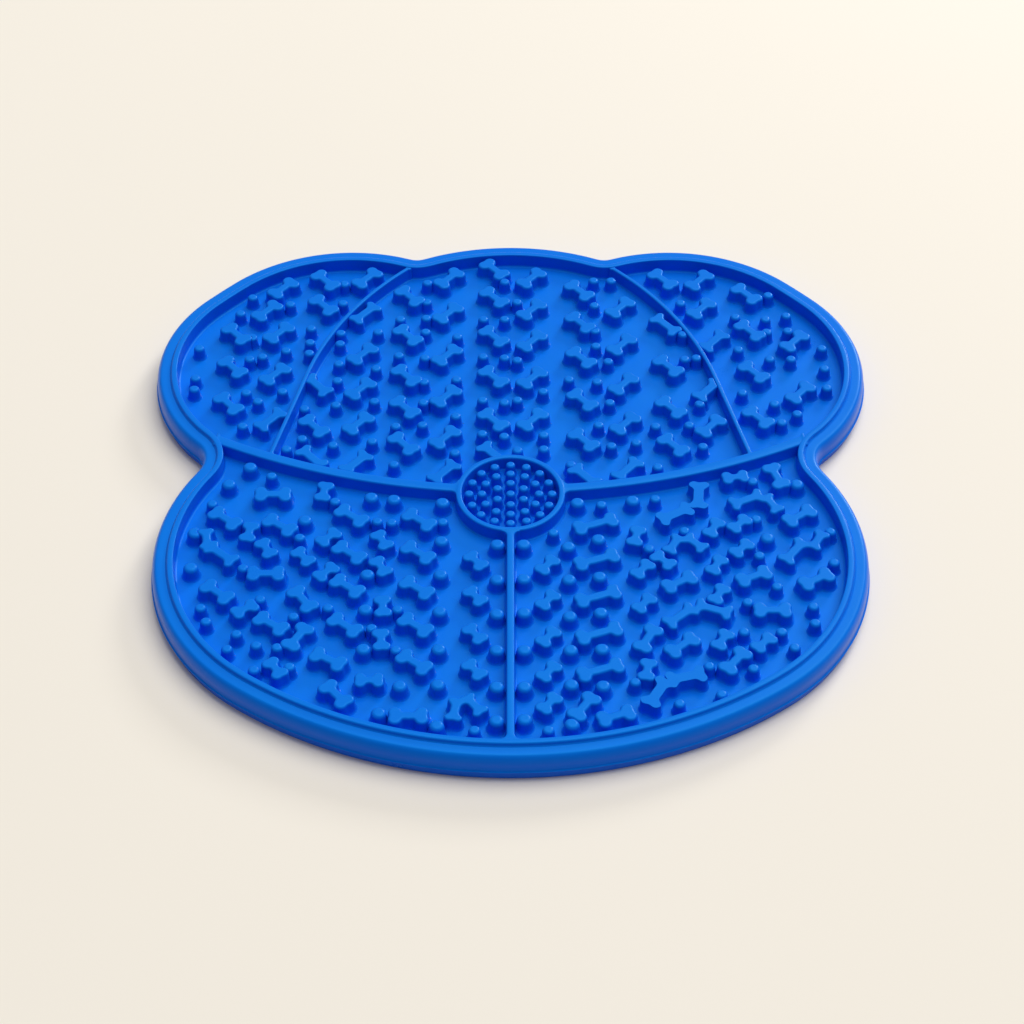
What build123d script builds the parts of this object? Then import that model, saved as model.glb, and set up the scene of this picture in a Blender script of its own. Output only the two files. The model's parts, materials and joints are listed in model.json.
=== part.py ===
"""A silicone lick mat in the outline of a dog's face, in millimetres, +Z up.

The mat lies on a table at z = 0, with the ears at the back (+Y) and the muzzle at the front (-Y).
Plan positions are written from a datum near the brow line; the plan is shifted along Y so that the
origin falls under the middle of the mat.
"""

from build123d import *
import os
from math import atan2, cos, degrees, radians, sin

# Outline of the face, seen from above: an oval muzzle, a round crown and two ears.
# Each ear is drawn round two circles, given by x, y and radius.
muzzle_half_width = 93.0
muzzle_half_depth = 69.4
muzzle_side_radius = 58.0
muzzle_centre_y = -22.6
crown_radius = 64.2
crown_centre_y = 38.5
ear_circles = ((46.1, 52.4, 48.1), (54.6, 49.5, 43.9))

# Corners where an ear meets the crown and the cheek: x, y and the radius that rounds them
notches = ((27.0, 97.0, 4.5), (80.0, 13.0, 8.0))

# Heights above the table
skirt_height = 2.9
floor_top = 4.9
floor_thickness = 2.0
rim_top = 8.0
lug_top = 9.3

# Widths of the rim, from the outside in
skirt_setback = 0.4
rim_width = 4.0
lip_width = 1.7
shoulder_chamfer = 0.7

# Ribs that divide the recess into fields; an ear rib bends round the crown, then runs straight
brow_rib_width = 3.0
brow_rib_radius = 173.0
brow_rib_low_y = -0.5
ear_rib_width = 1.2
ear_rib_radius = 95.0
ear_rib_centre_x = 35.6
ear_rib_centre_y = 22.0
ear_rib_lean = 14.0
muzzle_rib_width = 2.0

# Nose: a ring of pegs round one in the middle
nose_y = -1.7
nose_ring_radius = 14.5
nose_ring_width = 1.6
nose_peg_radius = 1.15
nose_peg_rings = ((4.0, 6), (7.6, 12), (11.0, 16))

# Lugs, measured at their tops; their walls widen downwards by the draft
lug_draft = 4.0
bone_length = 10.0
long_bone_length = 12.4
bone_width = 5.4
bone_lobe_radius = 1.4
bone_shank_width = 2.3
bone_end_dent = 0.5
short_bone_length = 7.4
short_bone_width = 4.6
short_bone_lobe_radius = 1.2
short_bone_shank_width = 2.1
short_bone_end_dent = 0.4
lobe_corner_angles = (20, 84)
peg_sides = 6
stout_peg_radius = 1.85
slim_peg_radius = 1.4
smallest_lug_volume = 10.0

# Suction cups under the floor
cup_radius = 8.0
cup_edge = 0.8
cup_stem_radius = 3.5
cup_stem_length = 0.7
cup_hollow_depth = 1.5
cup_hollow_top_radius = 1.7
cup_sides = 12
cup_places = ((66, 46), (24, 70), (28, 24), (66, -18), (34, -46))

# Bones that lean across the crown and the ears: lean in degrees, x, and places up the mat
lean = 49
head_bones = [
    (-lean, -77.5, (62.5, 48.5, 33.5)),
    (lean, -69.5, (72.5,)),
    (lean, -65.5, (82.5, 63, 45.5, 27)),
    (-lean, -53.5, (86, 75, 41, 24.5, 12)),
    (lean, -41.5, (87, 71.5, 54, 39.5, 25.5, 10)),
    (-lean, -29, (79, 62, 45, 32, 17.5)),
    (lean, -17.8, (87, 71.5, 53.5, 36.5, 20, 6.5)),
    (-lean, -4.7, (91, 78.5, 61.5, 44.5, 27, 13.5)),
    (lean, 6, (87, 73, 59.5, 44, 27)),
    (-lean, 19.8, (81.5, 67.5, 52.5, 35, 19, 5)),
    (lean, 31.3, (74, 58, 41.5, 25.5, 7.5)),
    (-lean, 44, (86.5, 66.5, 49, 32, 17)),
    (lean, 54.5, (86, 73.5, 39, 24.5)),
    (lean, 57.3, (59.5,)),
    (-lean, 67.7, (80, 64, 46.5, 28)),
    (lean, 80, (59.5, 38)),
]

# Pegs between those bones: x and places up the mat
head_pegs = [
    (-87.5, (56.5, 44, 39.5)),
    (-77, (71.5,)),
    (-74, (78.5,)),
    (-73, (61, 52, 38, 24.5)),
    (-69.5, (53, 34.5)),
    (-63, (75.5, 55.5, 38.5)),
    (-56.5, (65, 59, 54.5, 31.5, 19.5)),
    (-60.5, (15.5,)),
    (-48, (84.5, 76, 63, 58.5, 50, 43, 33, 17)),
    (-37.5, (63.5, 48, 34.5, 18.5)),
    (-31.3, (69, 53.5, 24.5, 9.5)),
    (-24, (85, 76.5, 69.5, 63.5, 52.5, 42.5, 34, 25)),
    (-15, (61.5, 43.5, 28.5, 14)),
    (-7.7, (69, 53, 35, 21.5)),
    (-1.7, (85.5, 69, 52.5, 34, 20.5)),
    (1.9, (76.5, 51.5, 35, 15)),
    (9, (38.5, 21, 15.5)),
    (16.2, (43.5, 9.5)),
    (24, (86, 75, 64, 57.5, 42.5, 25)),
    (27.3, (51, 34, 16.7)),
    (29, (86,)),
    (34, (18,)),
    (39.5, (80.5, 24.5, 8.5)),
    (48.7, (76, 62.5, 52, 25)),
    (52, (52.5, 33.5, 16.5)),
    (64, (70, 56, 38)),
    (72.5, (69, 63.5, 52, 33.5)),
    (74, (79.5, 26)),
    (78.5, (70.5, 64, 52, 29.5)),
    (87.5, (56.5, 48, 40)),
]

# The left cheek's bones and short bones: lean in degrees, x, and places up the mat
left_cheek_bones = [
    (-38, -24, (-11.5, -23.5, -36, -49, -61.5)),
    (0, -25, (-79,)),
    (-38, -41.8, (-10, -23.5, -35.5, -49)),
    (-30, -45.5, (-60.5,)),
    (-50, -43, (-72,)),
    (-55, -53, (-40,)),
    (60, -53.5, (-53,)),
    (0, -63, (-2, -31)),
    (-35, -60.5, (-13.5, -48.5)),
    (-40, -75, (-11, -24, -37.5)),
]
left_cheek_short_bones = [
    (-52, -9, (-26.5, -39, -52, -64, -75.5)),
    (80, -13.6, (-77,)),
    (-60, -33.5, (-19, -28.5)),
    (-85, -32.5, (-42.5, -54)),
    (0, -35, (-67.5,)),
    (80, -49.5, (-1,)),
    (45, -47.5, (-18, -30.5)),
    (-50, -53.7, (-25,)),
    (-60, -63.5, (-22,)),
    (35, -67.5, (-43.5,)),
    (-55, -58.5, (-63.5,)),
    (80, -68.3, (-16,)),
    (-80, -79.2, (-18.5,)),
]
left_cheek_stout_pegs = [
    (-3.5, (-20.4, -33, -45, -57.3, -69.5, -80.4)),
    (-18, (-5, -19.2, -31.2, -44.2, -57, -68.8, -82)),
    (-27.4, (-69.2,)),
    (-30.9, (-3.8,)),
    (-32.3, (-78,)),
    (-36.9, (-3, -31.2, -43.5, -57)),
    (-54, (-11.5,)),
    (-69.8, (8.5,)),
    (-75, (2,)),
    (-82.5, (-16.2, -28.8)),
]
left_cheek_slim_pegs = [
    (-8.8, (-83.5,)),
    (-17.8, (-12.3,)),
    (-28.7, (-43.5, -57.3)),
    (-31.2, (-12.5,)),
    (-35, (-12, -50)),
    (-46.4, (-4.6, -43)),
    (-55, (-18, -46, -63)),
    (-58.5, (-56.5,)),
    (-63.8, (5, -40, -55.8, -64)),
    (-69, (-29, -52)),
    (-71, (-57,)),
    (-77, (-47.7,)),
    (-78.8, (-5.5, -43)),
]

# The right cheek's, in the same way
right_cheek_long_bones = [
    (20, 22.3, (-13, -26, -39, -51.7, -64)),
]
right_cheek_bones = [
    (20, 25.8, (-79,)),
    (55, 18, (-76,)),
    (62, 34.5, (-53.5,)),
    (60, 36.3, (-71.5,)),
    (30, 43.3, (-9.5, -34)),
    (40, 43, (-45.8, -55.8)),
    (15, 43.5, (-66.5,)),
    (85, 49.8, (-2.5,)),
    (-20, 51.5, (-43.5,)),
    (52, 56, (-61,)),
    (25, 62.5, (-4, -32)),
    (0, 66.5, (-43.8,)),
    (-70, 71, (5,)),
    (35, 76, (-10,)),
    (52, 73.6, (-23,)),
    (30, 78.5, (-33,)),
]
right_cheek_short_bones = [
    (52, 9.5, (-28, -40.4, -53, -64.6, -75)),
    (75, 32.8, (-17.5,)),
    (50, 34, (-29.5, -41.5)),
    (80, 34, (-64,)),
    (-45, 39.5, (-26.3,)),
    (60, 42.5, (-20.5,)),
    (-45, 48, (-20,)),
    (60, 53.2, (-14.5, -28, -38.3, -54)),
    (10, 60, (4.5,)),
    (45, 60, (-13, -22)),
    (45, 63.5, (-55,)),
    (-60, 69, (-5.5,)),
    (60, 80, (-19,)),
]
right_cheek_stout_pegs = [
    (3.4, (-20.4, -32.7, -44.6, -57.3, -69.5, -80)),
    (15, (-21.2, -33, -45.8, -57.3, -68.8, -81.5)),
    (17.7, (-5,)),
    (22.9, (-18.5, -32, -44.6, -57, -69.2)),
    (32.3, (-4.2,)),
    (67, (-18,)),
    (76.2, (2,)),
]
right_cheek_slim_pegs = [
    (9.2, (-83.5,)),
    (11.2, (-16.2,)),
    (24, (-5.8,)),
    (30.8, (-68,)),
    (38.3, (-3.6,)),
    (36, (-22,)),
    (41.5, (-75,)),
    (45.5, (-15.5,)),
    (49.4, (-62.7,)),
    (52, (-72,)),
    (58.8, (-51.2,)),
    (60.4, (-41, -63.5)),
    (64.5, (3, -11.2, -24.5)),
    (68.3, (-35.5, -51.2)),
    (71.2, (-56.5,)),
    (77, (-42.5, -48.2)),
    (83.6, (-15.8, -27)),
]

# Worked out from the sizes above
muzzle_side_x = muzzle_half_width - muzzle_side_radius
muzzle_long_radius = (muzzle_side_x**2 + muzzle_half_depth**2 - muzzle_side_radius**2) / (
    2 * (muzzle_half_depth - muzzle_side_radius)
)
muzzle_long_offset = muzzle_long_radius - muzzle_half_depth
muzzle_side_angle = degrees(atan2(muzzle_long_offset, muzzle_side_x))
plan_back_y = crown_centre_y + crown_radius
plan_front_y = muzzle_centre_y - muzzle_half_depth
plan_shift = -(plan_back_y + plan_front_y) / 2
lug_height = lug_top - floor_top
floor_underside = floor_top - floor_thickness
cup_bell_height = floor_underside - cup_stem_length
field_inset = rim_width + lip_width
nose_field_radius = nose_ring_radius - nose_ring_width
brow_centre_y = brow_rib_low_y + brow_rib_radius
whole_plan = 4 * muzzle_half_width

os.makedirs("parts", exist_ok=True)


def plan_at(height):
    """The workplane at one height, with its origin on the plan's datum."""
    return Plane((0, plan_shift, height))


def ear_outline(side, inset):
    """One ear, drawn round its two circles, moved inwards by one distance."""
    with BuildSketch() as circles:
        for x, y, radius in ear_circles:
            with Locations((side * x, y)):
                Circle(radius - inset)
    with BuildSketch() as ear:
        make_hull(circles.edges())
    return ear.sketch


def face_outline(inset):
    """The outline of the face moved inwards by one distance."""
    with BuildSketch() as outline:
        with BuildLine():
            for side in (0, 180):
                CenterArc(
                    (muzzle_side_x * cos(radians(side)), muzzle_centre_y),
                    muzzle_side_radius - inset,
                    side - muzzle_side_angle,
                    2 * muzzle_side_angle,
                )
                CenterArc(
                    (0, muzzle_centre_y - muzzle_long_offset * cos(radians(side))),
                    muzzle_long_radius - inset,
                    side + muzzle_side_angle,
                    180 - 2 * muzzle_side_angle,
                )
        make_face()
        with Locations((0, crown_centre_y)):
            Circle(crown_radius - inset)
        for side in (-1, 1):
            add(ear_outline(side, inset))
        for side in (-1, 1):
            for x, y, radius in notches:
                corner = outline.vertices().sort_by_distance((side * x, y))[0]
                fillet(corner, radius + inset)
    return outline.sketch


def disc(x, y, radius):
    """A round face in the plan."""
    with BuildSketch() as round_face:
        with Locations((x, y)):
            Circle(radius)
    return round_face.sketch


def half_plan(side):
    """Everything to one side of the mat's middle: -1 for the left, 1 for the right."""
    with BuildSketch() as half:
        with Locations((side * whole_plan / 2, 0)):
            Rectangle(whole_plan, 2 * whole_plan)
    return half.sketch


def trimmed(face, inside=(), outside=()):
    """The largest region of a plan face that lies inside some faces and outside others."""
    with BuildSketch() as region:
        add(face)
        for other in inside:
            add(other, mode=Mode.INTERSECT)
        for other in outside:
            add(other, mode=Mode.SUBTRACT)
    return region.faces().sort_by(SortBy.AREA)[-1]


def write(piece, node):
    """Labels a finished piece and writes its STEP file."""
    piece.label = node
    export_step(piece, f"parts/{node}.step")


# Regions of the plan: the recess inside the lip, and the regions whose edges the ribs follow
recess = face_outline(field_inset)
nose_disc = disc(0, nose_y, nose_ring_radius)
brow_upper = disc(0, brow_centre_y, brow_rib_radius - brow_rib_width / 2)
brow_lower = disc(0, brow_centre_y, brow_rib_radius + brow_rib_width / 2)
with BuildSketch() as muzzle_rib_strip:
    with Locations((0, nose_y)):
        Rectangle(muzzle_rib_width, whole_plan, align=(Align.CENTER, Align.MAX))


def crown_side(side, margin):
    """All that lies on the crown's side of one ear rib's edge."""
    reach = ear_rib_radius + margin
    with BuildSketch() as region:
        with Locations(Location((-side * ear_rib_centre_x, ear_rib_centre_y), (0, 0, side * ear_rib_lean))):
            Circle(reach)
            Rectangle(2 * reach, whole_plan, align=(Align.CENTER, Align.MAX))
    return region.sketch


# The five fields, as they are left between the lip and the ribs
half_ear_rib = ear_rib_width / 2
crown_field = trimmed(
    recess,
    inside=(brow_upper, crown_side(-1, -half_ear_rib), crown_side(1, -half_ear_rib)),
    outside=(nose_disc,),
)
ear_fields = {
    side: trimmed(
        recess,
        inside=(brow_upper, half_plan(side)),
        outside=(crown_side(side, half_ear_rib),),
    )
    for side in (-1, 1)
}
cheek_fields = {
    side: trimmed(
        recess,
        inside=(half_plan(side),),
        outside=(brow_lower, nose_disc, muzzle_rib_strip.sketch),
    )
    for side in (-1, 1)
}

# The skirt under the parting line, set back a little from the rim
with BuildPart() as base_skirt:
    with BuildSketch(plan_at(0)):
        add(face_outline(skirt_setback))
        add(face_outline(rim_width), mode=Mode.SUBTRACT)
    extrude(amount=skirt_height)
write(base_skirt.part, "base_skirt")

# The rim above the parting line, with its shoulder broken all the way round
with BuildPart() as outer_rim:
    with BuildSketch(plan_at(skirt_height)):
        add(face_outline(0))
        add(face_outline(rim_width), mode=Mode.SUBTRACT)
    extrude(amount=rim_top - skirt_height)
    band = outer_rim.faces().sort_by(Axis.Z)[-1]
    chamfer(band.outer_wire().edges(), shoulder_chamfer)
write(outer_rim.part, "outer_rim")

# The floor that closes the recess and carries the lip, the ribs and the lugs
with BuildPart() as floor_panel:
    with BuildSketch(plan_at(floor_underside)):
        add(face_outline(rim_width))
    extrude(amount=floor_thickness)
write(floor_panel.part, "floor_panel")

# The raised lip, which stands on the floor's edge
with BuildPart() as inner_lip:
    with BuildSketch(plan_at(floor_top)):
        add(face_outline(rim_width))
        add(recess, mode=Mode.SUBTRACT)
    extrude(amount=lug_height)
write(inner_lip.part, "inner_lip")

# Brow ribs and ear ribs, left and right, and the muzzle rib
for side, hand in ((-1, "left"), (1, "right")):
    with BuildPart() as brow_rib:
        with BuildSketch(plan_at(floor_top)):
            add(trimmed(recess, (brow_lower, half_plan(side)), (brow_upper, nose_disc)))
        extrude(amount=lug_height)
    write(brow_rib.part, f"brow_rib_{hand}")

    with BuildPart() as ear_rib:
        with BuildSketch(plan_at(floor_top)):
            add(
                trimmed(
                    recess,
                    (brow_upper, half_plan(side), crown_side(side, half_ear_rib)),
                    (crown_side(side, -half_ear_rib),),
                )
            )
        extrude(amount=lug_height)
    write(ear_rib.part, f"ear_rib_{hand}")

with BuildPart() as muzzle_rib:
    with BuildSketch(plan_at(floor_top)):
        add(trimmed(recess, (muzzle_rib_strip.sketch,), (nose_disc,)))
    extrude(amount=lug_height)
write(muzzle_rib.part, "muzzle_rib")

# The nose: a ring with pegs inside it
with BuildPart() as nose_ring:
    with BuildSketch(plan_at(floor_top)):
        add(nose_disc)
        add(disc(0, nose_y, nose_field_radius), mode=Mode.SUBTRACT)
    extrude(amount=lug_height)
write(nose_ring.part, "nose_ring")


def bone_outline(length, width, lobe_radius, shank_width, end_dent):
    """A dog bone in plan, along X: two lobes at each end and a straight shank."""
    lobe_x = length / 2 - lobe_radius
    lobe_y = width / 2 - lobe_radius
    with BuildSketch() as outline:
        with BuildLine():
            Polyline(
                (length / 2 - end_dent, 0),
                *[
                    (lobe_x + lobe_radius * cos(radians(a)), lobe_y + lobe_radius * sin(radians(a)))
                    for a in lobe_corner_angles
                ],
                (lobe_x - lobe_radius, shank_width / 2),
                (0, shank_width / 2),
            )
            mirror(about=Plane.XZ)
            mirror(about=Plane.YZ)
        make_face()
    return outline.sketch


def peg_outline(radius):
    """A peg in plan."""
    with BuildSketch() as outline:
        RegularPolygon(radius, peg_sides)
    return outline.sketch


def drafted_lug(outline):
    """One lug of the recess's full height, true to its outline at the top and wider at its foot."""
    with BuildPart() as lug:
        with BuildSketch():
            add(outline)
        extrude(amount=lug_height)
        walls = lug.faces().filter_by(Axis.Z, reverse=True)
        draft(walls, Plane.XY.offset(lug_height), lug_draft)
    return lug.part


def standing(lug, columns):
    """A lug and the places where its copies stand, from columns of x and places up the mat."""
    return lug, [
        Location((x, y + plan_shift, floor_top), (0, 0, turn))
        for turn, x, places in columns
        for y in places
    ]


def upright(columns):
    """Columns of pegs, which need no lean."""
    return [(0, x, places) for x, places in columns]


def stands_in(field, place):
    """Whether the middle of a lug is in one field."""
    return field.is_inside((place.position.X, place.position.Y - plan_shift))


def lugs_in(field, groups, clear_of=None):
    """Stands groups of lugs in one field, trimmed to its walls and clear of another piece's lugs."""
    with BuildPart() as group:
        for lug, places in groups:
            with Locations(*[place for place in places if stands_in(field, place)]):
                add(lug)
        with BuildSketch(plan_at(floor_top)):
            add(field)
        extrude(amount=lug_height, mode=Mode.INTERSECT)
        if clear_of is not None:
            add(clear_of, mode=Mode.SUBTRACT)
    return Compound([lug for lug in group.solids() if lug.volume > smallest_lug_volume])


bone, long_bone = [
    drafted_lug(bone_outline(length, bone_width, bone_lobe_radius, bone_shank_width, bone_end_dent))
    for length in (bone_length, long_bone_length)
]
short_bone = drafted_lug(
    bone_outline(
        short_bone_length,
        short_bone_width,
        short_bone_lobe_radius,
        short_bone_shank_width,
        short_bone_end_dent,
    )
)
stout_peg = drafted_lug(peg_outline(stout_peg_radius))
slim_peg = drafted_lug(peg_outline(slim_peg_radius))
nose_peg = drafted_lug(peg_outline(nose_peg_radius))

with BuildPart() as nose_pegs:
    with Locations(Location((0, nose_y + plan_shift, floor_top))):
        add(nose_peg)
        for radius, count in nose_peg_rings:
            with PolarLocations(radius, count, start_angle=90):
                add(nose_peg)
write(nose_pegs.part, "nose_pegs")

# Bones first, then the pegs that stand between them
head_bone_groups = [standing(bone, head_bones)]
head_peg_groups = [standing(slim_peg, upright(head_pegs))]
field_lugs = {
    "left_ear": (ear_fields[-1], head_bone_groups, head_peg_groups),
    "crown": (crown_field, head_bone_groups, head_peg_groups),
    "right_ear": (ear_fields[1], head_bone_groups, head_peg_groups),
    "left_cheek": (
        cheek_fields[-1],
        [standing(bone, left_cheek_bones), standing(short_bone, left_cheek_short_bones)],
        [
            standing(stout_peg, upright(left_cheek_stout_pegs)),
            standing(slim_peg, upright(left_cheek_slim_pegs)),
        ],
    ),
    "right_cheek": (
        cheek_fields[1],
        [
            standing(long_bone, right_cheek_long_bones),
            standing(bone, right_cheek_bones),
            standing(short_bone, right_cheek_short_bones),
        ],
        [
            standing(stout_peg, upright(right_cheek_stout_pegs)),
            standing(slim_peg, upright(right_cheek_slim_pegs)),
        ],
    ),
}
for name, (field, bone_groups, peg_groups) in field_lugs.items():
    bones = lugs_in(field, bone_groups)
    write(bones, f"{name}_bones")
    write(lugs_in(field, peg_groups, clear_of=bones), f"{name}_pegs")


def cup_cone(foot_radius, top_radius, height):
    """A many-sided cone without its tip, which stands on the table."""
    flat_share = cos(radians(180 / cup_sides))
    with BuildPart() as cone:
        with BuildSketch():
            RegularPolygon(foot_radius, cup_sides)
        extrude(amount=height, taper=degrees(atan2((foot_radius - top_radius) * flat_share, height)))
    return cone.part


# Suction cups on short stems, their edges level with the foot of the skirt
with BuildPart() as cup:
    add(cup_cone(cup_radius, cup_stem_radius, cup_bell_height))
    with BuildSketch(Plane.XY.offset(cup_bell_height)):
        RegularPolygon(cup_stem_radius, cup_sides)
    extrude(amount=cup_stem_length)
    add(cup_cone(cup_radius - cup_edge, cup_hollow_top_radius, cup_hollow_depth), mode=Mode.SUBTRACT)

with BuildPart() as suction_cups:
    with Locations(*[(side * x, y + plan_shift) for x, y in cup_places for side in (-1, 1)]):
        add(cup.part)
write(suction_cups.part, "suction_cups")
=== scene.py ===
# %% [markdown]
# A lick mat in blue silicone, seen from above and in front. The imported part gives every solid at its
# true size and place. This lesson dresses those solids as a moulding: soft edges, small fillets where
# a lug grows out of the floor, and a satin finish. All lengths are read in millimetres, because the
# mat is thin, and are turned into metres only when a mesh is made.

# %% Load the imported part
import json
import math

import bpy
import numpy as np
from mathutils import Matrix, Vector

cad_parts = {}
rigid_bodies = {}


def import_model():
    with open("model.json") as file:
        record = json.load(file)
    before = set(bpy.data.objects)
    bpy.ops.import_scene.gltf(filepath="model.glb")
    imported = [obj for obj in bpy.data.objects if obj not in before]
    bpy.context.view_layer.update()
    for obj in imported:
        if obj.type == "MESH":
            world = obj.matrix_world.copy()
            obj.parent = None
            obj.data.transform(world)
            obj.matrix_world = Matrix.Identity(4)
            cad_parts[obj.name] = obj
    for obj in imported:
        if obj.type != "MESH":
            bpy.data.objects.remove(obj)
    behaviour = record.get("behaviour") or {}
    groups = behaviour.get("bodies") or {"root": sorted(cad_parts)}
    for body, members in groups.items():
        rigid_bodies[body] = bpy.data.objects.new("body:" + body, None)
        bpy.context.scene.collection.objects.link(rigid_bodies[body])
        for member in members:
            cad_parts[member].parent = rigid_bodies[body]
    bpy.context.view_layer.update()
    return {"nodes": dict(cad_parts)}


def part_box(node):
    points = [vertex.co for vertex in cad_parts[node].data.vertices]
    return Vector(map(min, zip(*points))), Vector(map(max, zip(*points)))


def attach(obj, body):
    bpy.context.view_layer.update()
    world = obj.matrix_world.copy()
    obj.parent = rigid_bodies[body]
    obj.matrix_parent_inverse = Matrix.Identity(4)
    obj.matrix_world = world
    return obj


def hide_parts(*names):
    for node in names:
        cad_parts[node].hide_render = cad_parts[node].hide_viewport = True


for leftover in list(bpy.data.objects):
    bpy.data.objects.remove(leftover)
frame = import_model()
nodes = frame["nodes"]
MM = 0.001

# %% [markdown]
# A silicone finish is nearly even, but never quite: the colour drifts a little at random, the walls are
# painted a deeper blue as painted shade, and the mould leaves a fine grain that breaks up the
# highlights.
# Nodes could be placed one by one in the shader editor. Here a small class wraps a socket, so that a
# sum of sockets is written as a sum.


# %% Shader sums as Python
class Value:
    """A socket that can be added and multiplied: each operation adds one Math node."""

    def __init__(self, tree, socket):
        self.tree = tree
        self.socket = socket

    def combine(self, operation, first, second):
        node = self.tree.nodes.new("ShaderNodeMath")
        node.operation = operation
        for place, term in zip(node.inputs, (first, second)):
            if isinstance(term, Value):
                self.tree.links.new(term.socket, place)
            else:
                place.default_value = term
        return Value(self.tree, node.outputs[0])

    def __add__(self, other):
        return self.combine("ADD", self, other)

    def __radd__(self, other):
        return self.combine("ADD", other, self)

    def __mul__(self, other):
        return self.combine("MULTIPLY", self, other)

    def __rmul__(self, other):
        return self.combine("MULTIPLY", other, self)


print("shader sums are ready")

# %% [markdown]
# Each finish is one material with the usual Principled shader. One method adds any other node: it takes
# the node's type, its settings and what goes into its sockets. A mix of two colours is wanted for the
# mat and for the table, so it gets a method of its own. The Mix node keeps sockets for numbers, vectors
# and colours side by side, and they share their names, so the colour ones are picked by their places.

# %% Finishes
MIX_SHARE = 0
MIX_FIRST = 6
MIX_SECOND = 7
MIX_RESULT = 2


class Finish:
    """A new material whose nodes are added by type, settings and sockets."""

    def __init__(self, name):
        self.material = bpy.data.materials.new(name)
        self.material.use_nodes = True
        self.tree = self.material.node_tree
        self.shader = self.tree.nodes["Principled BSDF"]

    def node(self, kind, settings=None, sockets=None, out=0):
        node = self.tree.nodes.new(kind)
        for key, setting in (settings or {}).items():
            setattr(node, key, setting)
        for key, value in (sockets or {}).items():
            self.feed(node.inputs[key], value)
        return Value(self.tree, node.outputs[out])

    def blend(self, share, first, second):
        sockets = {MIX_SHARE: share, MIX_FIRST: first, MIX_SECOND: second}
        return self.node("ShaderNodeMix", {"data_type": "RGBA"}, sockets, MIX_RESULT)

    def feed(self, socket, value):
        if isinstance(value, Value):
            self.tree.links.new(value.socket, socket)
        else:
            socket.default_value = value

    def set(self, **sockets):
        for key, value in sockets.items():
            self.feed(self.shader.inputs[key.replace("_", " ")], value)


print("finishes can be made")

# %% [markdown]
# The silicone is a strong blue. Its walls are painted a deeper blue than its tops, as painted shade
# for the walls that face away from the light, so two blues are mixed by how far a face looks up. A soft
# noise makes
# the colour drift, and moves the roughness too, so that broad highlights are not flat. A much finer
# noise makes the grain of the mould: it is too small to model, so it goes into a Bump node.

# %% The blue silicone
BLUE = (0.0025, 0.192, 0.84, 1.0)
# The second blue is painted shade: walls get this deeper blue because they face away from the light.
WALL_SHADE_BLUE = (0.001, 0.115, 0.78, 1.0)
BLUE_SHARE = 0.6
BLUE_DRIFT = 0.5
SATIN = 0.22
SATIN_DRIFT = 0.12
SATIN_GRAIN = 0.04
GRAIN_DEPTH = 0.00002

silicone = Finish("blue_silicone")
place = silicone.node("ShaderNodeTexCoord", out="Object")
facing = silicone.node("ShaderNodeTexCoord", out="Normal")
up_facing_light_mask = silicone.node("ShaderNodeSeparateXYZ", sockets={"Vector": facing}, out="Z")
drift = silicone.node(
    "ShaderNodeTexNoise",
    sockets={"Vector": place, "Scale": 45.0, "Detail": 3.0, "Roughness": 0.55},
)
grain = silicone.node(
    "ShaderNodeTexNoise",
    sockets={"Vector": place, "Scale": 2600.0, "Detail": 2.0},
)
# Painted shade: the less a face looks up, the more of the deeper blue it gets; the drift adds random
# tone on top.
colour = silicone.blend(up_facing_light_mask * (BLUE_SHARE + drift * BLUE_DRIFT), WALL_SHADE_BLUE, BLUE)
bump = silicone.node(
    "ShaderNodeBump",
    sockets={"Strength": 0.35, "Distance": GRAIN_DEPTH, "Height": grain},
)
silicone.set(
    Base_Color=colour,
    Roughness=SATIN + drift * SATIN_DRIFT + grain * SATIN_GRAIN,
    Normal=bump,
    Specular_IOR_Level=0.3,
    Specular_Tint=(0.05, 0.7, 1.0, 1.0),
)
print("finish made:", silicone.material.name, len(silicone.tree.nodes), "nodes")

# %% [markdown]
# Every moulded form on this mat is an outline carried through some heights: it spreads at the foot,
# draws in up its wall and rolls over at the top. So one helper moves a closed outline outwards or
# inwards, and others turn a stack of equal rings into faces. A bevel modifier could round the solids
# too, but it can't give the wide foot that a mould gives, and it fails where lugs are cut by a rib.

# %% Rings into faces
SHORTEST = 1e-9


def grown(curve, distance):
    """A closed curve that runs anticlockwise, moved outwards by a distance."""
    along = np.roll(curve, -1, axis=0) - np.roll(curve, 1, axis=0)
    outwards = np.stack([along[:, 1], -along[:, 0]], axis=1)
    length = np.linalg.norm(outwards, axis=1, keepdims=True)
    return curve + distance * outwards / np.maximum(length, SHORTEST)


def raised(curve, height):
    """A flat curve lifted to one height."""
    return np.column_stack([curve, np.full(len(curve), height)])


def ring_faces(first, count, rings, joined):
    """Quads between rings of points; the last ring meets the first where the skin is joined up."""
    faces = []
    for ring in range(rings if joined else rings - 1):
        low = first + ring * count
        high = first + (ring + 1) % rings * count
        for k in range(count):
            after = (k + 1) % count
            faces.append((low + k, low + after, high + after, high + k))
    return faces


def capped_faces(first, count, rings):
    """Quads between rings of points, with a flat face on the first ring and one on the last."""
    faces = ring_faces(first, count, rings, joined=False)
    faces.append(tuple(first + k for k in reversed(range(count))))
    last = first + (rings - 1) * count
    faces.append(tuple(last + k for k in range(count)))
    return faces


print("ring helpers are ready")

# %% [markdown]
# A piece of the dressed mat is a mesh that stands for one or more of the solids. It rides on the same
# body, takes the silicone finish and hides the solids that it replaces. Its quads are shaded smooth, as
# a moulding is, and its flat ends stay flat. An arc helper draws the round parts of all profiles.


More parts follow.
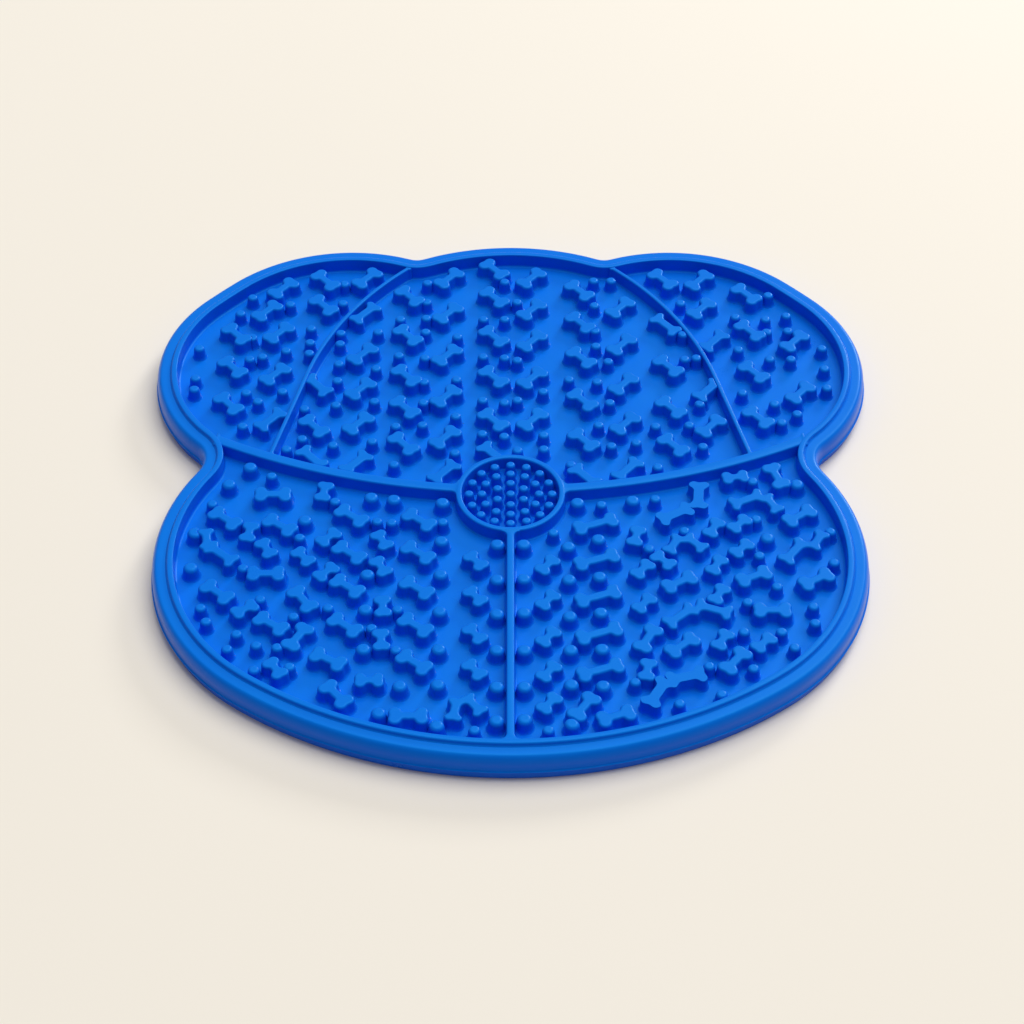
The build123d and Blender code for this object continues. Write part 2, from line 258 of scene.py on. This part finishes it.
# %% Pieces and arcs
def piece(name, points, faces, replaced):
    """A mesh in the silicone finish that stands for some CAD nodes: its quads smooth, its ends flat."""
    mesh = bpy.data.meshes.new(name)
    mesh.from_pydata(np.asarray(points) * MM, [], faces)
    mesh.polygons.foreach_set("use_smooth", [len(face) == 4 for face in faces])
    mesh.materials.append(silicone.material)
    mesh.validate()
    thing = bpy.data.objects.new(name, mesh)
    bpy.context.scene.collection.objects.link(thing)
    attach(thing, "root")
    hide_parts(*replaced)
    print(name, "vertices:", len(mesh.vertices), "faces:", len(mesh.polygons))


def arc(centre, radius, start, end, steps):
    """Points on an arc in a profile, as pairs of offset and height."""
    return [
        (centre[0] + radius * math.cos(a), centre[1] + radius * math.sin(a))
        for a in np.radians(np.linspace(start, end, steps))
    ]


print("pieces take the finish", silicone.material.name)

# %% [markdown]
# The outlines come from the solids themselves. A level face of a solid has a border: the edges that
# belong to one face only. Chained together they give the outline in order. Tracing them by hand would
# work too, but then the dressed mat would not follow a change to the solids.

# %% Outlines read from the solids
LEVEL = 0.005


def level_outlines(node, height):
    """The closed borders of a node's faces at one height, in millimetres."""
    mesh = nodes[node].data
    spots = [tuple(round(c / MM, 3) for c in v.co) for v in mesh.vertices]
    edges = set()
    for face in mesh.polygons:
        corners = [spots[i] for i in face.vertices]
        if all(abs(corner[2] - height) < LEVEL for corner in corners):
            edges.update(zip(corners, corners[1:] + corners[:1]))
    follow = {a: b for a, b in edges if (b, a) not in edges}
    outlines = []
    while follow:
        start = min(follow)
        loop = [start]
        point = follow.pop(start)
        while point != start:
            loop.append(point)
            point = follow.pop(point, start)
        outlines.append(np.array(loop)[:, :2])
    return outlines


def enclosed_area(curve):
    """The area inside a closed curve, above zero where it runs anticlockwise."""
    after = np.roll(curve, -1, axis=0)
    return 0.5 * float(np.sum(curve[:, 0] * after[:, 1] - after[:, 0] * curve[:, 1]))


cup_feet = level_outlines("suction_cups", 0.0)
print("outlines found at the feet of the suction cups:", len(cup_feet))

# %% [markdown]
# The mat's own outline is read from the floor panel, and cubic curves between its points make it even
# and fine. The main heights are read here too. The real lugs are a little lower than the solids, so
# their tops are drawn lower. For an eye that looks down at half a right angle, a lower top seems to
# come forwards, so ribs, nose and lugs are set back by about as much as their tops came down.

# %% The mat's outline and heights
OUTLINE_SPACING = 0.8
NUDGE = 0.5


def even(outline, spacing):
    """The same closed outline through evenly spaced points, by cubic curves between the given ones."""
    after = np.roll(outline, -1, axis=0)
    chord = np.linalg.norm(after - outline, axis=1)
    before = np.roll(chord, 1)
    slope = (after - outline) / chord[:, None]
    behind = np.roll(slope, 1, axis=0)
    lead = (slope * before[:, None] + behind * chord[:, None]) / (chord + before)[:, None]
    ends = np.cumsum(chord)
    count = int(round(ends[-1] / spacing))
    along = np.arange(count) * ends[-1] / count
    i = np.searchsorted(ends, along, side="right")
    j = (i + 1) % len(outline)
    t = ((along - ends[i] + chord[i]) / chord[i])[:, None]
    pull = chord[i][:, None]
    return (
        outline[i] * (2 * t**3 - 3 * t**2 + 1)
        + lead[i] * pull * (t**3 - 2 * t**2 + t)
        + outline[j] * (3 * t**2 - 2 * t**3)
        + lead[j] * pull * (t**3 - t**2)
    )


FLOOR = round(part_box("floor_panel")[1].z / MM, 3)
SOLID_TOP = round(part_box("inner_lip")[1].z / MM, 3)
LUG_TOP = SOLID_TOP - NUDGE
RIM_TOP = round(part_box("outer_rim")[1].z / MM, 3)
PARTING = round(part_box("base_skirt")[1].z / MM, 3)
panel_outline = max(level_outlines("floor_panel", FLOOR), key=lambda c: abs(enclosed_area(c)))
floor_edge = even(panel_outline, OUTLINE_SPACING)
if enclosed_area(floor_edge) < 0:
    floor_edge = floor_edge[::-1]
print("floor at", FLOOR, "lugs up to", LUG_TOP, "outline points:", len(floor_edge))

# %% [markdown]
# The skirt stands on the table, a little inside the line where the two halves of the mould meet. The
# rim rises from that line, which leaves a fine ridge, and rolls over in a wide shoulder. Each is one
# closed profile of offsets and heights carried round the outline, which is what a curve with a bevel
# object does; rings are used here so that the profile keeps its true width in the tight notches.


# %% Skirt and rim
def carried_round(name, curve, profile, replaced):
    """A closed profile of offsets from a closed curve and heights, carried all round that curve."""
    points = np.concatenate([raised(grown(curve, offset), height) for offset, height in profile])
    piece(name, points, ring_faces(0, len(curve), len(profile), joined=True), replaced)


RIM = 4.0
SKIRT = RIM - 0.4
SHOULDER = 1.5
SHOULDER_DROP = 2.8
RIDGE = RIM + 0.4
skirt_profile = [
    (0.0, 0.0),
    (SKIRT - 0.3, 0.0),
    (SKIRT - 0.08, 0.08),
    (SKIRT, 0.3),
    (SKIRT, PARTING - 0.25),
    (SKIRT + 0.05, PARTING - 0.08),
    (SKIRT + 0.12, PARTING),
    (0.0, PARTING),
]
rim_profile = [
    (0.0, PARTING),
    (RIM, PARTING),
    (RIDGE, PARTING + 0.05),
    (RIDGE, PARTING + 0.15),
    (RIDGE - 0.08, PARTING + 0.22),
    (RIM + 0.06, PARTING + 0.3),
    (RIM, PARTING + 0.42),
    (RIM, RIM_TOP - SHOULDER_DROP - 0.3),
    *[
        (RIM - SHOULDER * (1 - drawn_in), RIM_TOP - SHOULDER_DROP * (1 - height))
        for drawn_in, height in arc((0, 0), 1, 0, 86, 12)
    ],
    (RIM - SHOULDER - 0.4, RIM_TOP),
    (0.6, RIM_TOP),
    (0.0, RIM_TOP),
]
carried_round("skirt", floor_edge, skirt_profile, ["base_skirt"])
carried_round("rim", floor_edge, rim_profile, ["outer_rim"])

# %% [markdown]
# The lip is the thin bead inside the rim, and the wall of the recess. Its outer side slopes, its inner
# edge is tighter, and it grows out of the floor in a small fillet. It reaches a little below the floor,
# as all pieces that stand there do, so that no gap can show at their feet.

# %% Lip
LIP = 1.7
LIP_TOP = LUG_TOP + 0.15
LIP_EDGE = 0.3
LIP_SLOPE = 0.5
LIP_FILLET = 0.6
BURIED = 0.2
lip_profile = [
    (0.0, FLOOR - BURIED),
    (0.0, RIM_TOP - 0.3),
    (0.45, RIM_TOP - 0.02),
    (0.27, RIM_TOP + 0.05),
    (0.1, RIM_TOP + 0.2),
    *arc((-LIP_SLOPE, LIP_TOP - LIP_SLOPE), LIP_SLOPE, 5, 84, 7),
    *arc((LIP_EDGE - LIP, LIP_TOP - LIP_EDGE), LIP_EDGE, 96, 178, 6),
    (-LIP - 0.12, FLOOR + 1.2),
    *arc((-LIP - 0.75, FLOOR + LIP_FILLET), LIP_FILLET, 0, -86, 5),
    (-LIP - 1.2, FLOOR - BURIED),
]
carried_round("lip", floor_edge, lip_profile, ["inner_lip"])

# %% [markdown]
# The lugs are what the mat is for: bones and pegs that a tongue has to work round. Each solid lug has a
# many-sided top. A whole bone is the same when it is turned by half, so it is drawn again from its
# length and width, with arcs for its four lobes. A bone that a rib or the lip cuts off keeps the
# outline of its solid, and a smooth curve through the corners makes it round.

# %% Outlines of bones
LONG_SIDE = 2.5
SPLIT_SPACING = 1.5
SAME_SPOT = 0.05
LOBE_SHARE = 0.6
LOBE_TURN = 170
LOBE_STEPS = 11
SHANK_SHARE = 0.43
DENT_SHARE = 0.14


def with_long_sides_split(outline):
    """The outline with added points on its long sides, so that a curve through them stays straight."""
    points = []
    for a, b in zip(outline, np.roll(outline, -1, axis=0)):
        length = float(np.linalg.norm(b - a))
        parts = math.ceil(length / SPLIT_SPACING) if length > LONG_SIDE else 1
        points += [a + (b - a) * k / parts for k in range(parts)]
    return np.array(points)


def softened(curve, passes):
    """A closed curve whose points are drawn towards their neighbours, which rounds its corners."""
    for _ in range(passes):
        curve = (np.roll(curve, 1, axis=0) + 2 * curve + np.roll(curve, -1, axis=0)) / 4
    return curve


def round_lobed(outline):
    """A whole bone with round lobes in place of its corners; a cut bone keeps its outline."""
    middle = outline.mean(axis=0)
    spots = outline - middle
    half_turned = np.linalg.norm(spots[:, None] + spots[None], axis=2).min(axis=1)
    if half_turned.max() > SAME_SPOT:
        return outline
    along = np.linalg.svd(spots, full_matrices=False)[2][0]
    across = np.array([-along[1], along[0]])
    reach = np.abs(spots @ along).max()
    half_width = np.abs(spots @ across).max()
    lobe = LOBE_SHARE * half_width
    quarter = [
        (reach - DENT_SHARE * half_width, 0),
        *arc((reach - lobe, half_width - lobe), lobe, 0, LOBE_TURN, LOBE_STEPS),
        (reach - 2 * lobe, SHANK_SHARE * half_width),
        (0, SHANK_SHARE * half_width),
    ]
    half = quarter + [(-x, y) for x, y in reversed(quarter[:-1])]
    whole = np.array(half + [(-x, -y) for x, y in half[1:-1]])
    return middle + whole[:, :1] * along + whole[:, 1:] * across


print("bones are redrawn with lobes of", LOBE_SHARE, "of half their width")

# %% [markdown]
# A lug's outline is carried down from its top through rings: a soft edge, a drawn-in wall and a wide
# foot. Where a cut bone is thin, a wide soft edge would make the curve of its top cross itself and
# leave a hole, so the edge is made smaller until the curve is sound. Pegs are simply scaled about
# their middles, which is safe for a peg that a bone cuts into.

# %% Rings of a lug
FOOT = [(-0.15, 1.0), (0.04, 0.78), (0.16, 0.58), (0.4, 0.4), (0.8, 0.28), (1.3, 0.2)]
FOOT_SOFTENING = 6
CORNER_SOFTENING = 3
FULLER = 0.2
BELOW_EDGE = 0.25
WALL_SPREAD = 0.03
EDGE_ANGLES = (0, 18, 36, 54, 70, 84)
TOP_INSET = 1.15
SMALLEST_EDGE = 0.08
EDGE_STEP = 0.85
NEIGHBOURS = 6
CLOSEST = 0.2


def peg_grown(curve, distance):
    """A peg's outline scaled about its middle."""
    middle = curve.mean(axis=0)
    radius = np.linalg.norm(curve - middle, axis=1).mean()
    return middle + (curve - middle) * (1 + distance / radius)


def safe_edge(curve, widen, edge):
    """The widest edge, up to the wanted one, whose top curve neither turns back nor meets itself."""
    count = len(curve)
    ahead = np.roll(curve, -1, axis=0) - curve
    apart = np.abs(np.subtract.outer(np.arange(count), np.arange(count)))
    far_apart = np.minimum(apart, count - apart) > NEIGHBOURS
    while edge > SMALLEST_EDGE:
        top = widen(curve, -TOP_INSET * edge)
        step = np.roll(top, -1, axis=0) - top
        gaps = np.linalg.norm(top[:, None] - top[None], axis=2)
        if (step * ahead).sum(axis=1).min() > 0 and gaps[far_apart].min() > CLOSEST:
            break
        edge *= EDGE_STEP
    return edge


def lug_rings(outline, widen, spacing, roundness, top):
    """The rings of one lug, from under the floor to the flat of its top."""
    smooth = softened(even(with_long_sides_split(outline), spacing), CORNER_SOFTENING)
    curve = widen(smooth, FULLER)
    perimeter = np.linalg.norm(curve - np.roll(curve, 1, axis=0), axis=1).sum()
    edge = safe_edge(curve, widen, roundness * 2 * enclosed_area(curve) / perimeter)
    rings = [
        raised(softened(widen(curve, spread), round(FOOT_SOFTENING * spread)), FLOOR + height)
        for height, spread in FOOT
    ]
    rings.append(raised(widen(curve, WALL_SPREAD), top - edge - BELOW_EDGE))
    for angle in np.radians(EDGE_ANGLES):
        inset = edge * (1 - math.cos(angle))
        rings.append(raised(widen(curve, -inset), top - edge * (1 - math.sin(angle))))
    rings.append(raised(widen(curve, -TOP_INSET * edge), top))
    return rings


print("a lug has", len(FOOT) + len(EDGE_ANGLES) + 2, "rings")

# %% [markdown]
# All lugs of one field are one mesh, because a library moves and paints a field as a whole. Copies of
# one bone could be scattered instead, but many bones are cut in their own way. The tops of bones, pegs
# and ribs lie at slightly different heights, because two flat faces at one height would show specks
# where they overlap.

# %% Bones and pegs
BONE_TOP = LUG_TOP - 0.3
BONE_SPACING = 0.40
BONE_ROUNDNESS = 0.25
PEG_TOP = LUG_TOP - 0.36
PEG_SPACING = 0.38
NOSE_PEG_SPACING = 0.34
PEG_ROUNDNESS = 0.55


def lugs(name, node, redrawn, widen, spacing, roundness, top):
    """All the lugs of one CAD node as one mesh, up to one height."""
    points = []
    faces = []
    for outline in map(redrawn, level_outlines(node, SOLID_TOP)):
        if enclosed_area(outline) < 0:
            outline = outline[::-1]
        rings = lug_rings(outline + (0, NUDGE), widen, spacing, roundness, top)
        faces += capped_faces(len(points), len(rings[0]), len(rings))
        points.extend(np.concatenate(rings))
    piece(name, points, faces, [node])


def bones(name, node):
    """One field of bones."""
    lugs(name, node, round_lobed, grown, BONE_SPACING, BONE_ROUNDNESS, BONE_TOP)


def pegs(name, node, spacing):
    """One field of pegs."""
    lugs(name, node, np.array, peg_grown, spacing, PEG_ROUNDNESS, PEG_TOP)


for field in ("left_ear", "crown", "right_ear", "left_cheek", "right_cheek"):
    bones(f"{field}_bone_lugs", f"{field}_bones")
    pegs(f"{field}_peg_lugs", f"{field}_pegs", PEG_SPACING)
pegs("nose_peg_lugs", "nose_pegs", NOSE_PEG_SPACING)

# %% [markdown]
# Ribs divide the mat into ears, crown and cheeks. Each is a thin wall along a line, and its profile has
# round top edges and a fillet at the foot. The wall widens in a round corner where it runs into the lip
# or the nose, and its end can be cut at a slant, to lie along the lip. A curve with a bevel object
# gives the plain wall, but neither the round corners nor the slanted ends.

# %% Walls along lines
OVERRUN = 0.8
SKEWED_RUN = 8.0
RIB_SPREAD = 0.7
RIB_FILLET = 0.55
RIB_DRAFT = 0.02
BELOW_RIB_EDGE = 0.3


def rib_profile(half_width, edge, top):
    """A closed wall profile of sideways offsets and heights, with round edges and a spread foot."""
    spread = half_width + RIB_SPREAD
    right = [
        (spread, FLOOR - BURIED),
        *arc((spread, FLOOR + RIB_FILLET), RIB_FILLET, 268, 184, 5),
        (half_width + RIB_DRAFT, top - edge - BELOW_RIB_EDGE),
        *arc((half_width - edge, top - edge), edge, 0, 84, 6),
    ]
    return right + [(-offset, height) for offset, height in reversed(right)]


def flared(distance, flare):
    """How much wider a wall is near the piece that it runs into: a round corner of one radius."""
    near = np.clip(1 - (distance - OVERRUN) / flare, 0, 1)
    return flare * (1 - np.sqrt(1 - near**2))


def wall_along(name, line, profile, flares, skews, replaced):
    """A wall with its profile square to a line, and a flare and a slanted cut at each end."""
    line = np.asarray(line)
    along = np.gradient(line, axis=0)
    along /= np.linalg.norm(along, axis=1, keepdims=True)
    sideways = np.stack([along[:, 1], -along[:, 0]], axis=1)
    run = np.concatenate([[0], np.cumsum(np.linalg.norm(np.diff(line, axis=0), axis=1))])
    left = run[-1] - run
    extra = flared(run, flares[0]) + flared(left, flares[1])
    start_slant = skews[0] * np.clip(1 - run / SKEWED_RUN, 0, 1)
    end_slant = skews[1] * np.clip(1 - left / SKEWED_RUN, 0, 1)
    slant = start_slant + end_slant
    points = [
        (*(spot + (offset + math.copysign(wider, offset)) * side + slanted * offset * ahead), height)
        for spot, ahead, side, wider, slanted in zip(line, along, sideways, extra, slant)
        for offset, height in profile
    ]
    piece(name, points, capped_faces(0, len(profile), len(line)), replaced)


def span(node, axis):
    """How far a node reaches along one axis, in millimetres."""
    low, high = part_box(node)
    return low[axis] / MM, high[axis] / MM


nose_low, nose_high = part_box("nose_ring")
nose_centre = np.array(((nose_low + nose_high) / 2)[:2]) / MM + (0, NUDGE)
print("the ribs meet round the nose at", np.round(nose_centre, 2))

# %% [markdown]
# The brow is one wide arc that runs from notch to notch through the nose, which parts it into two ribs.
# Its upper and its lower edge meet the lip at different distances from the nose. Both are read from the
# corners of the solid rib, and the end of the wall is slanted to reach them.

# %% Brow ribs
BROW_RADIUS = 173.0
BROW_ABOVE_NOSE = 1.2
BROW_WIDTH = 3.0
BROW_EDGE = 0.5
BROW_TOP = LUG_TOP - 0.03
BROW_STEPS = 260
INTO_LIP = 0.4
LIP_FLARE = 0.8
NOSE_FLARE = 1.6
brow_y = nose_centre[1] + BROW_ABOVE_NOSE + BROW_RADIUS


def brow_wall(side, hand):
    """The brow rib on one side, from the nose out to the lip."""
    node = f"brow_rib_{hand}"
    outline = level_outlines(node, SOLID_TOP)[0]
    on_lower_edge = np.hypot(outline[:, 0], outline[:, 1] - brow_y) > BROW_RADIUS
    reach = np.abs(outline[:, 0])
    upper_end = side * reach[~on_lower_edge].max()
    lower_end = side * reach[on_lower_edge].max()
    lip_end = (upper_end + lower_end) / 2 + side * INTO_LIP
    nose_end = side * reach.min() - side * OVERRUN
    xs = np.sort(np.linspace(nose_end, lip_end, BROW_STEPS))
    line = np.column_stack([xs, brow_y - np.sqrt(BROW_RADIUS**2 - xs**2)])
    flares = (LIP_FLARE, NOSE_FLARE)
    skews = ((lower_end - upper_end) / BROW_WIDTH, 0)
    if side > 0:
        flares = flares[::-1]
        skews = skews[::-1]
    profile = rib_profile(BROW_WIDTH / 2, BROW_EDGE, BROW_TOP)
    wall_along(f"brow_wall_{hand}", line, profile, flares, skews, [node])


print("the brow's arc is centred at y", round(brow_y, 2))

# %% [markdown]
# The rib between the crown and an ear is the finest one. It bends round in one arc from the lip at the
# back, and near the brow it runs on straight, leaning outwards. Arc and straight are joined into one
# line where the arc's own direction has that lean, so that there is no kink.

# %% Ear ribs
EAR_RADIUS = 95.0
EAR_LEAN = math.radians(14.0)
EAR_HALF_WIDTH = 0.6
EAR_EDGE = 0.4
EAR_TOP = LUG_TOP - 0.06
EAR_OVERRUN = 0.2
EAR_FLARES = (0.3, 1.2)
BEND_STEPS = 240
STRAIGHT_STEPS = 100
NO_SKEWS = (0, 0)
ear_centre = np.array([-35.6, nose_centre[1] + 23.7])


def ear_wall(side, hand):
    """The ear rib on one side, from the lip down to the brow."""
    node = f"ear_rib_{hand}"
    y_low, y_high = span(node, 1)
    top_angle = math.degrees(math.asin((y_high - ear_centre[1]) / EAR_RADIUS)) + EAR_OVERRUN
    bend = [
        ear_centre + EAR_RADIUS * np.array([math.cos(a), math.sin(a)])
        for a in np.linspace(math.radians(top_angle), EAR_LEAN, BEND_STEPS)
    ]
    foot_run = (bend[-1][1] - y_low + OVERRUN) / math.cos(EAR_LEAN)
    step = np.array([math.sin(EAR_LEAN), -math.cos(EAR_LEAN)])
    straight = [bend[-1] + step * run for run in np.linspace(0, foot_run, STRAIGHT_STEPS)[1:]]
    line = np.array(bend + straight) * (side, 1)
    profile = rib_profile(EAR_HALF_WIDTH, EAR_EDGE, EAR_TOP)
    wall_along(f"ear_wall_{hand}", line, profile, EAR_FLARES, NO_SKEWS, [node])


print("the left ear rib bends about", np.round(ear_centre * (-1, 1), 2))

# %% [markdown]
# With the lines known, the ribs are made from left to right. The muzzle's rib is a straight wall from
# the nose to the front. The nose is a round wall: the profile of a rib carried round a circle.


# %% Ribs and nose ring
def circle(count):
    """Points on a circle with a radius of one."""
    turns = np.radians(np.arange(count) * 360 / count)
    return np.column_stack([np.cos(turns), np.sin(turns)])


for side, hand in ((-1, "left"), (1, "right")):
    brow_wall(side, hand)
    ear_wall(side, hand)

MUZZLE_HALF_WIDTH = 1.0
MUZZLE_FLARES = (1.6, 2.0)
MUZZLE_STEPS = 240
NARROW_EDGE = 0.45
y_low, y_high = span("muzzle_rib", 1)
muzzle_ys = np.linspace(y_high + NUDGE + OVERRUN, y_low - OVERRUN, MUZZLE_STEPS)
muzzle_line = np.column_stack([np.zeros(MUZZLE_STEPS), muzzle_ys])
muzzle_profile = rib_profile(MUZZLE_HALF_WIDTH, NARROW_EDGE, BROW_TOP)
wall_along("muzzle_wall", muzzle_line, muzzle_profile, MUZZLE_FLARES, NO_SKEWS, ["muzzle_rib"])

NOSE_WALL = 1.6
NOSE_STEPS = 160
nose_radius = span("nose_ring", 0)[1] - NOSE_WALL / 2
nose_line = nose_centre + nose_radius * circle(NOSE_STEPS)
nose_profile = rib_profile(NOSE_WALL / 2, NARROW_EDGE, LUG_TOP)
carried_round("nose_wall", nose_line, nose_profile, ["nose_ring"])

# %% [markdown]
# Suction cups hold the mat to the table. They can't be seen in the photograph, so they are plain: a
# short stem and a thin bell. Each is a profile turned about its own axis, as a Screw modifier would
# turn it, and their places are read from the solid cups.

# %% Suction cups
UNDERSIDE = round(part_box("floor_panel")[0].z / MM, 3)
CUP_SIDES = 48
CUP_EDGE = 0.22
cup_profile = [
    (3.9, UNDERSIDE + 0.1),
    (3.6, UNDERSIDE - 0.25),
    (3.5, UNDERSIDE - 0.6),
    (3.9, UNDERSIDE - 1.0),
    (5.6, 1.25),
    (7.4, 0.42),
    *arc((7.75, CUP_EDGE), CUP_EDGE, 60, -80, 6),
    (7.3, 0.0),
    (6.2, 0.35),
    (4.2, 0.95),
    (2.0, 1.4),
    (0.6, 1.5),
]
cup_centres = {tuple(np.round(foot.mean(axis=0), 1)) for foot in cup_feet}
points = []
faces = []
for centre in sorted(cup_centres):
    faces += [face[::-1] for face in capped_faces(len(points), CUP_SIDES, len(cup_profile))]
    for radius, height in cup_profile:
        points.extend(raised(np.array(centre) + radius * circle(CUP_SIDES), height))
piece("cups", points, faces, ["suction_cups"])

# %% [markdown]
# The floor panel is a flat sheet, and a flat sheet is all that shows of it between the lugs, so the
# solid itself stays and only takes the finish.

# %% The floor panel's finish
panel = nodes["floor_panel"]
panel.data.materials.clear()
panel.data.materials.append(silicone.material)
print("finish on", panel.name)

# %% [markdown]
# The mat lies on a warm white table that runs on past the picture. Its colour is a cream with a very
# slight unevenness. It is a stage, not a part of the mat.

# %% The table
CREAM = (0.905, 0.865, 0.785, 1.0)
PALE_CREAM = (0.935, 0.895, 0.82, 1.0)
HALF_TABLE = 4.0
table_finish = Finish("warm_white_table")
spot = table_finish.node("ShaderNodeTexCoord", out="Object")
cloud = table_finish.node("ShaderNodeTexNoise", sockets={"Vector": spot, "Scale": 2.5, "Detail": 2.0})
table_finish.set(Base_Color=table_finish.blend(cloud, CREAM, PALE_CREAM), Roughness=0.8)
corners = [(x * HALF_TABLE, y * HALF_TABLE, 0) for x, y in ((-1, -1), (1, -1), (1, 1), (-1, 1))]
table_mesh = bpy.data.meshes.new("table")
table_mesh.from_pydata(corners, [], [(0, 1, 2, 3)])
table_mesh.materials.append(table_finish.material)
table = bpy.data.objects.new("table", table_mesh)
bpy.context.scene.collection.objects.link(table)
print("table made, half its width in m:", HALF_TABLE)

# %% [markdown]
# The light is a soft studio: a pale room all round, and a broad window high at the back on the right.
# It skims the tops of the lugs, leaves the walls that face us in shade, and throws a soft shadow to the
# front and left. A small softbox, low behind the mat, puts fine highlights on the edges that face it.

# %% Light
ROOM_COLOUR = (1.0, 0.955, 0.9, 1.0)
ROOM_STRENGTH = 0.25
LAMP_COLOUR = (1.0, 0.985, 0.96)
WINDOW_PLACE = (0.4, 0.35, 1.4)
WINDOW_STRENGTH = 2.02
WINDOW_SPREAD = math.radians(58)
SOFTBOX_PLACE = (0.62, 1.0, 0.55)
SOFTBOX_WATTS = 5.5
SOFTBOX_SIZE = 0.3
world = bpy.data.worlds.new("pale_room")
bpy.context.scene.world = world
world.use_nodes = True
backdrop = world.node_tree.nodes["Background"]
backdrop.inputs["Color"].default_value = ROOM_COLOUR
backdrop.inputs["Strength"].default_value = ROOM_STRENGTH


def lamp(name, kind, where, power):
    """A lamp that faces the mat."""
    data = bpy.data.lights.new(name, kind)
    data.energy = power
    data.color = LAMP_COLOUR
    thing = bpy.data.objects.new(name, data)
    thing.location = where
    thing.rotation_mode = "QUATERNION"
    thing.rotation_quaternion = (-Vector(where)).to_track_quat("-Z", "Y")
    bpy.context.scene.collection.objects.link(thing)
    return data


lamp("window", "SUN", WINDOW_PLACE, WINDOW_STRENGTH).angle = WINDOW_SPREAD
lamp("rim_softbox", "AREA", SOFTBOX_PLACE, SOFTBOX_WATTS).size = SOFTBOX_SIZE

# %% [markdown]
# The camera looks down at half a right angle from the front. Its place and lens were worked out from
# the outline of the mat in the photograph, with the back of the mat at a known distance from the point
# that it looks at, so that point is found from the back of the rim.

# %% Camera
LENS_PIXELS = 2600.0
PICTURE_PIXELS = 1024
MIDDLE_X = 510.5
DISTANCE = 696.15
SENSOR = 36.0
BACK_FROM_SIGHT = 102.7
sight = Vector((0, (span("outer_rim", 1)[1] - BACK_FROM_SIGHT) * MM, 0))
camera_data = bpy.data.cameras.new("camera")
camera_data.sensor_width = SENSOR
camera_data.lens = LENS_PIXELS / PICTURE_PIXELS * SENSOR
camera_data.shift_x = (PICTURE_PIXELS / 2 - MIDDLE_X) / PICTURE_PIXELS
camera = bpy.data.objects.new("camera", camera_data)
direction = Vector((0, -1, 1)).normalized()
camera.location = sight + direction * DISTANCE * MM
camera.rotation_mode = "QUATERNION"
camera.rotation_quaternion = (-direction).to_track_quat("-Z", "Y")
bpy.context.scene.collection.objects.link(camera)
bpy.context.scene.camera = camera
bpy.context.scene.view_settings.view_transform = "Standard"
print("camera at", [round(c, 3) for c in camera.location])
